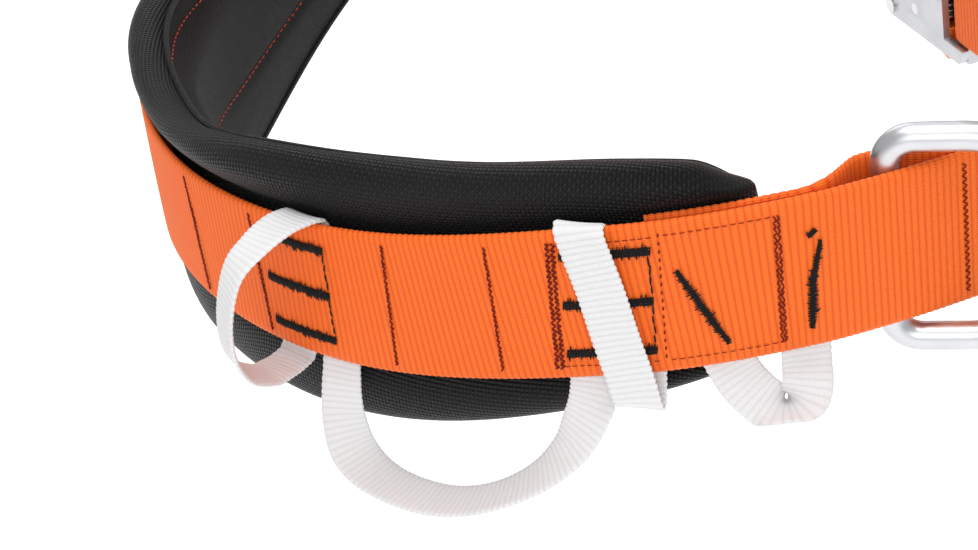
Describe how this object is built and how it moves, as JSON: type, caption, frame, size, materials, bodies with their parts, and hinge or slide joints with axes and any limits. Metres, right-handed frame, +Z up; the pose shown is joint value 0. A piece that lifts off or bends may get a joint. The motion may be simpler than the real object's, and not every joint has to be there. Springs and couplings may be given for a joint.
{
  "type": "tree climbing saddle",
  "caption": "Padded waist belt of a climbing saddle with gear loops, swinging side rings and a squeeze-release front buckle.",
  "frame": {"origin": "on the pad's lining at the middle of the wearer's back", "axes": "+X to the wearer's right, +Y forwards, +Z up"},
  "size_m": [0.3972, 0.2796, 0.1148],
  "materials": {
    "pad_weave": "black coarse woven polyester, slightly shiny",
    "foam": "closed cell foam, hidden inside the pad",
    "mesh_lining": "black ribbed mesh",
    "stiffener": "thin flexible sheet, hidden inside the pad",
    "piping": "black corded edge",
    "orange_webbing": "orange ribbed polyester webbing",
    "white_webbing": "white ribbed webbing",
    "red_thread": "dark red bonded thread",
    "black_thread": "black bonded thread",
    "ring_metal": "forged, tumbled and anodised",
    "buckle_metal": "pressed and anodised",
    "lever_finish": "orange anodised levers",
    "pin_steel": "ground steel",
    "spring_steel": "spring wire",
    "keeper_elastic": "black woven elastic",
    "sleeve_plastic": "black moulded sleeve"
  },
  "bodies": {
    "root": {"pad_outer_cover": "pad_weave", "pad_foam_core": "foam", "pad_mesh_lining": "mesh_lining", "lumbar_stiffener": "stiffener", "rim_piping": "piping", "main_band": "orange_webbing", "front_strap_right": "orange_webbing", "front_strap_left": "orange_webbing", "cross_stitches_right": "red_thread", "cross_stitches_left": "red_thread", "bartacks_right": "black_thread", "bartacks_left": "black_thread", "loop_tails_right": "white_webbing", "loop_tails_left": "white_webbing", "buckle_back_plate": "buckle_metal", "buckle_front_plate": "buckle_metal", "buckle_spacers": "buckle_metal", "buckle_rivets": "pin_steel", "buckle_strap_bar": "buckle_metal", "lever_pins": "pin_steel", "lever_spring_upper": "spring_steel", "lever_spring_lower": "spring_steel", "buckle_tongue": "buckle_metal", "strap_end_sleeve": "sleeve_plastic"},
    "side_ring_right": {"side_ring_right": "ring_metal"},
    "side_ring_left": {"side_ring_left": "ring_metal"},
    "release_lever_upper": {"release_lever_upper": "lever_finish"},
    "release_lever_lower": {"release_lever_lower": "lever_finish"},
    "tongue_slider_bar": {"tongue_slider_bar": "buckle_metal"},
    "strap_keeper_inner": {"strap_keeper_inner": "keeper_elastic"},
    "strap_keeper_outer": {"strap_keeper_outer": "keeper_elastic"},
    "long_loop_right": {"long_loop_right": "white_webbing"},
    "long_loop_left": {"long_loop_left": "white_webbing"},
    "short_loop_right": {"short_loop_right": "white_webbing"},
    "short_loop_left": {"short_loop_left": "white_webbing"},
    "open_loop_right": {"open_loop_right": "white_webbing"},
    "flat_loop_right": {"flat_loop_right": "white_webbing"},
    "flat_loop_left": {"flat_loop_left": "white_webbing"}
  },
  "joints": [
    {"name": "side_ring_right_swing", "type": "hinge", "parent": "root", "child": "side_ring_right", "pos_m": [0.16794, 0.14656, 0.01965], "axis": [-0.0523, 0.0001, 0.9986], "range_deg": [-80, 17]},
    {"name": "side_ring_left_swing", "type": "hinge", "parent": "root", "child": "side_ring_left", "pos_m": [-0.16794, 0.14656, 0.01965], "axis": [0.0523, 0.0001, 0.9986], "range_deg": [-17, 80]},
    {"name": "release_lever_upper_press", "type": "hinge", "parent": "root", "child": "release_lever_upper", "pos_m": [0.012, 0.24434, 0.03969], "axis": [0, 0.9986, 0.0523], "range_deg": [0, 18], "stiffness_Nm_per_rad": 0.06, "springref_deg": -20.05, "deforming": ["lever_spring_upper"]},
    {"name": "release_lever_lower_press", "type": "hinge", "parent": "root", "child": "release_lever_lower", "pos_m": [0.012, 0.24643, -0.00026], "axis": [0, -0.9986, -0.0523], "range_deg": [0, 18], "stiffness_Nm_per_rad": 0.06, "springref_deg": -20.05, "deforming": ["lever_spring_lower"]},
    {"name": "tongue_slider_bar_slide", "type": "slide", "parent": "root", "child": "tongue_slider_bar", "axis": [-1, 0, 0], "range_m": [0, 0.002]},
    {"name": "strap_keeper_inner_slide", "type": "slide", "parent": "root", "child": "strap_keeper_inner", "axis": [1, 0, 0], "range_m": [-0.004, 0.004]},
    {"name": "strap_keeper_outer_slide", "type": "slide", "parent": "root", "child": "strap_keeper_outer", "axis": [1, 0, 0], "range_m": [-0.004, 0.004]},
    {"name": "long_loop_right_swing", "type": "hinge", "parent": "root", "child": "long_loop_right", "pos_m": [0.11418, 0.04048, -0.0174], "axis": [-0.7359, -0.6605, -0.1488], "range_deg": [0, 45]},
    {"name": "long_loop_left_swing", "type": "hinge", "parent": "root", "child": "long_loop_left", "pos_m": [-0.11418, 0.04048, -0.0174], "axis": [-0.7359, 0.6605, 0.1488], "range_deg": [0, 45]},
    {"name": "short_loop_right_swing", "type": "hinge", "parent": "root", "child": "short_loop_right", "pos_m": [0.16818, 0.11012, -0.00517], "axis": [-0.2556, -0.9599, -0.1153], "range_deg": [0, 50]},
    {"name": "short_loop_left_swing", "type": "hinge", "parent": "root", "child": "short_loop_left", "pos_m": [-0.16818, 0.11012, -0.00517], "axis": [-0.2556, 0.9599, 0.1153], "range_deg": [0, 50]},
    {"name": "open_loop_right_sway", "type": "hinge", "parent": "root", "child": "open_loop_right", "pos_m": [0.07656, 0.00246, -0.00196], "axis": [0.1795, 0.1638, 0.97], "range_deg": [-10, 10]},
    {"name": "flat_loop_right_lift", "type": "slide", "parent": "root", "child": "flat_loop_right", "axis": [0.7747, -0.6303, 0.0511], "range_m": [0, 0.008]},
    {"name": "flat_loop_left_lift", "type": "slide", "parent": "root", "child": "flat_loop_left", "axis": [-0.7747, -0.6303, 0.0511], "range_m": [0, 0.008]}
  ]
}
